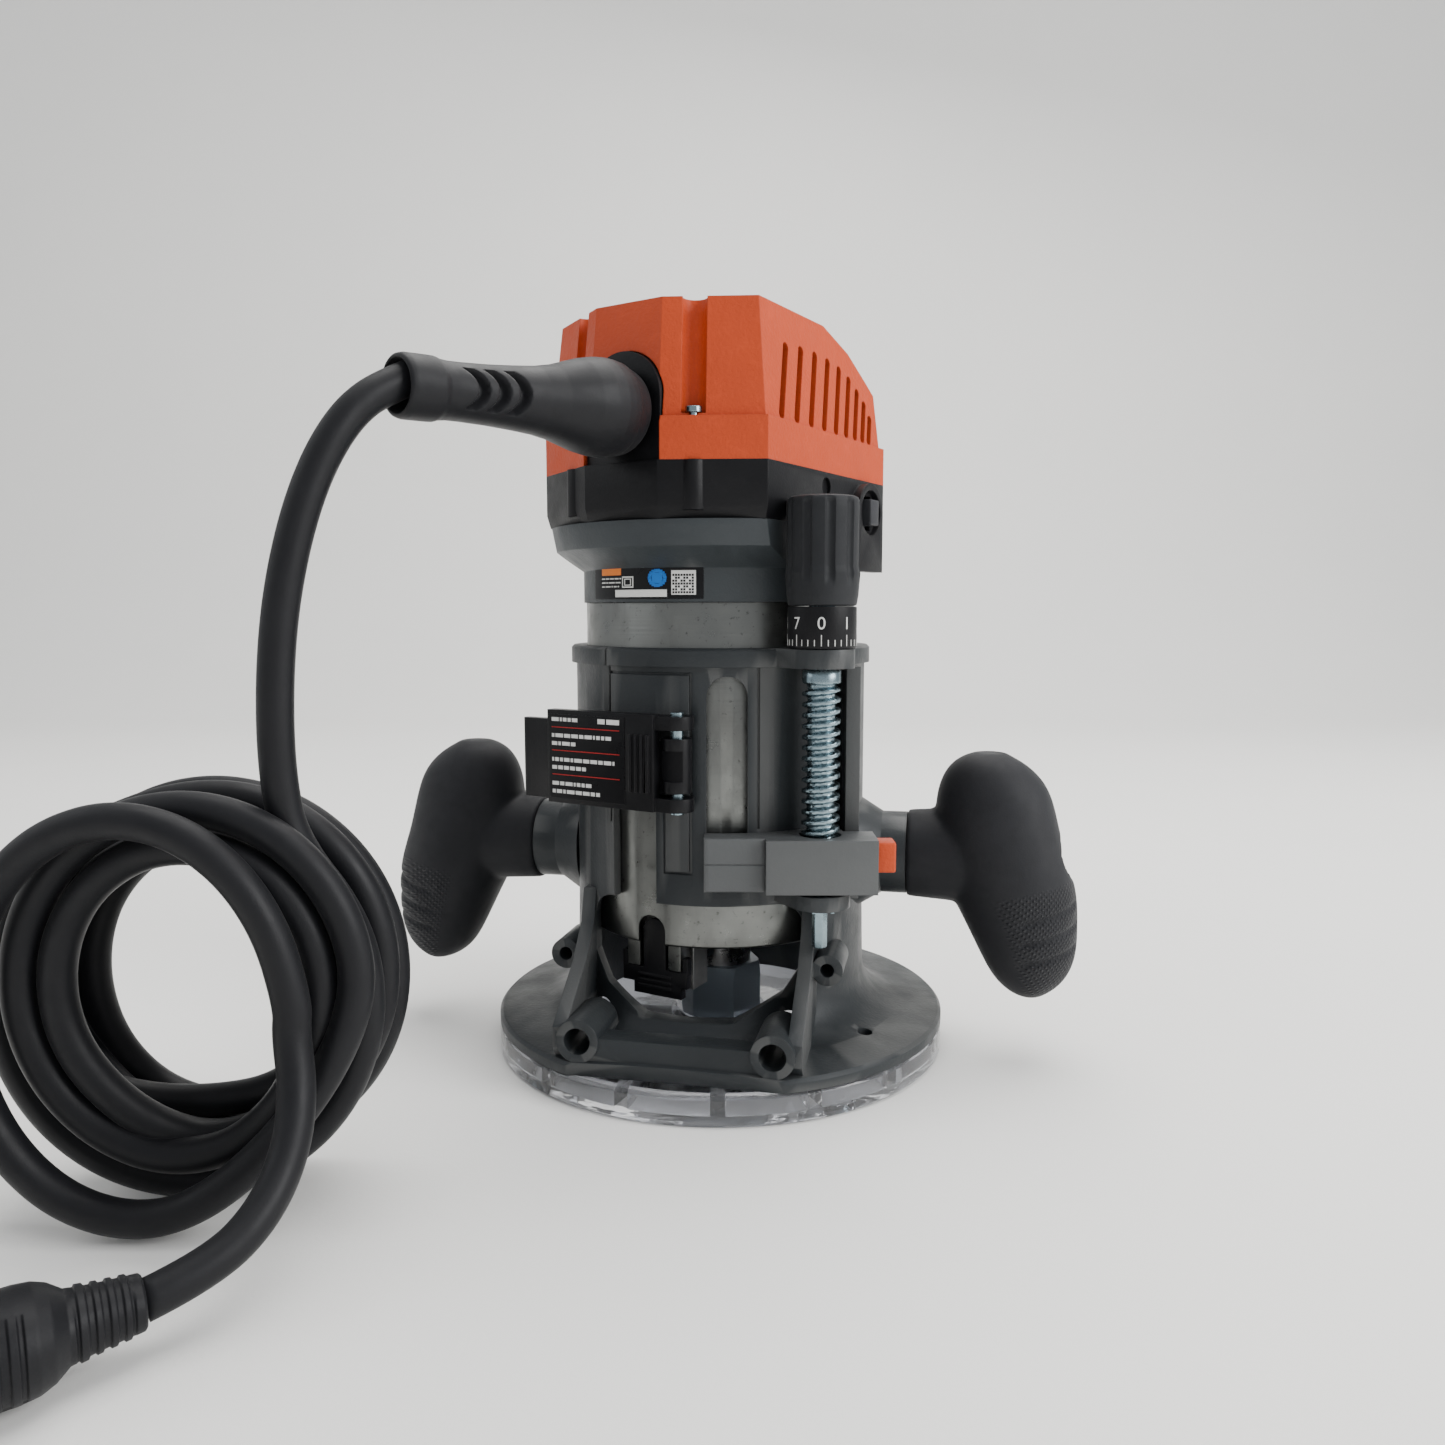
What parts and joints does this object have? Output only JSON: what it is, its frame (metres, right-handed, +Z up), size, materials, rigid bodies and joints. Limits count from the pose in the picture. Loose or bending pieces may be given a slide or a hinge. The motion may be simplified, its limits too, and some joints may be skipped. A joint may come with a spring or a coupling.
{
  "type": "fixed-base router",
  "caption": "Hand-held woodworking router: clamped motor in a two-handled round base, screw depth adjuster, collet and power cord.",
  "frame": {"origin": "on the spindle's axis at the underside of the sub-base", "axes": "+Z up along the spindle, +X towards the right-hand handle, -Y to the front with the clamp lever"},
  "size_m": [0.2756, 0.3108, 0.2334],
  "materials": {
    "clear_plastic": "clear moulded polycarbonate",
    "zinc_steel": "zinc plated",
    "grey_casting": "satin paint on a casting",
    "grip_rubber": "soft matte rubber",
    "black_plastic": "fine moulded texture",
    "grey_plastic": "fine moulded texture",
    "orange_plastic": "fine pebbled texture",
    "bare_steel": "ground",
    "dark_steel": "oiled",
    "machined_aluminium": "turned, worn",
    "cast_aluminium": "as cast",
    "lamination_steel": "stacked laminations",
    "copper": "enamelled wire",
    "brass": "satin",
    "carbon": "dusty graphite",
    "board_green": "solder mask",
    "cord_rubber": "matte cord jacket"
  },
  "bodies": {
    "base": {"sub_base": "clear_plastic", "sub_base_screws": "zinc_steel", "base_casting": "grey_casting", "handle_left": "grip_rubber", "handle_right": "grip_rubber", "handle_bolts": "zinc_steel", "handle_plug_left": "grip_rubber", "handle_plug_right": "grip_rubber", "clamp_bolt": "zinc_steel", "clamp_link": "black_plastic", "lever_pin": "zinc_steel", "cord_lead": "cord_rubber", "cord_hank": "cord_rubber", "cord_tail": "cord_rubber", "plug": "cord_rubber", "plug_blades": "brass"},
    "motor": {"motor_barrel": "machined_aluminium", "head_casting": "grey_casting", "head_housing": "black_plastic", "top_cap": "orange_plastic", "cap_screws": "zinc_steel", "motor_bracket": "grey_casting", "bracket_screws": "zinc_steel", "bearing_bridge": "cast_aluminium", "lower_bearing": "bare_steel", "upper_bearing": "bare_steel", "baffle": "black_plastic", "stator_core": "lamination_steel", "field_windings": "copper", "brush_plate": "black_plastic", "brush_holder_left": "brass", "brush_holder_right": "brass", "carbon_brush_left": "carbon", "carbon_brush_right": "carbon", "brush_spring_left": "bare_steel", "brush_spring_right": "bare_steel", "top_bridge": "cast_aluminium", "speed_board": "board_green", "switch_body": "black_plastic", "lock_guide": "cast_aluminium", "lock_spring": "bare_steel", "strain_relief": "cord_rubber", "release_spring": "bare_steel"},
    "rotor": {"spindle": "bare_steel", "collet_nut": "dark_steel", "collet": "dark_steel", "armature_core": "lamination_steel", "armature_windings": "copper", "commutator": "copper", "fan": "black_plastic"},
    "depth_adjuster": {"depth_screw": "zinc_steel", "depth_knob": "grip_rubber", "star_washer": "zinc_steel"},
    "depth_scale": {"depth_ring": "black_plastic"},
    "lever": {"clamp_lever": "black_plastic"},
    "release": {"half_nut": "bare_steel", "release_button": "orange_plastic"},
    "switch": {"switch_rocker": "grey_plastic"},
    "lock": {"spindle_lock": "black_plastic"}
  },
  "joints": [
    {"name": "motor_slide", "type": "slide", "parent": "base", "child": "motor", "axis": [0, 0, 1], "range_m": [0, 0.04445], "deforming": ["cord_lead"]},
    {"name": "spindle_spin", "type": "hinge", "parent": "motor", "child": "rotor", "pos_m": [0, 0, 0], "axis": [0, 0, 1], "continuous": true},
    {"name": "depth_turn", "type": "hinge", "parent": "base", "child": "depth_adjuster", "pos_m": [0.03918, -0.04276, 0.1], "axis": [0, 0, 1], "range_deg": [-5042, 2]},
    {"name": "scale_turn", "type": "hinge", "parent": "depth_adjuster", "child": "depth_scale", "pos_m": [0.03918, -0.04276, 0.14], "axis": [0, 0, 1], "continuous": true},
    {"name": "lever_open", "type": "hinge", "parent": "base", "child": "lever", "pos_m": [-0.00165, -0.05362, 0.1], "axis": [0, 0, 1], "range_deg": [0, 100]},
    {"name": "release_press", "type": "slide", "parent": "motor", "child": "release", "axis": [-0.9781, -0.2079, 0], "range_m": [0, 0.003], "stiffness_N_per_m": 900, "springref_m": -0.002, "deforming": ["release_spring"]},
    {"name": "switch_tilt", "type": "hinge", "parent": "motor", "child": "switch", "pos_m": [0.04542, 0.00901, 0.177], "axis": [0.342, 0.9397, 0], "range_deg": [0, 16]},
    {"name": "lock_press", "type": "slide", "parent": "motor", "child": "lock", "axis": [0.2924, 0.9563, 0], "range_m": [0, 0.0042], "stiffness_N_per_m": 700, "springref_m": -0.002, "deforming": ["lock_spring"]}
  ],
  "couplings": [
    {"joint": "depth_turn", "follows": "motor_slide", "rad_per_m": -1979}
  ]
}
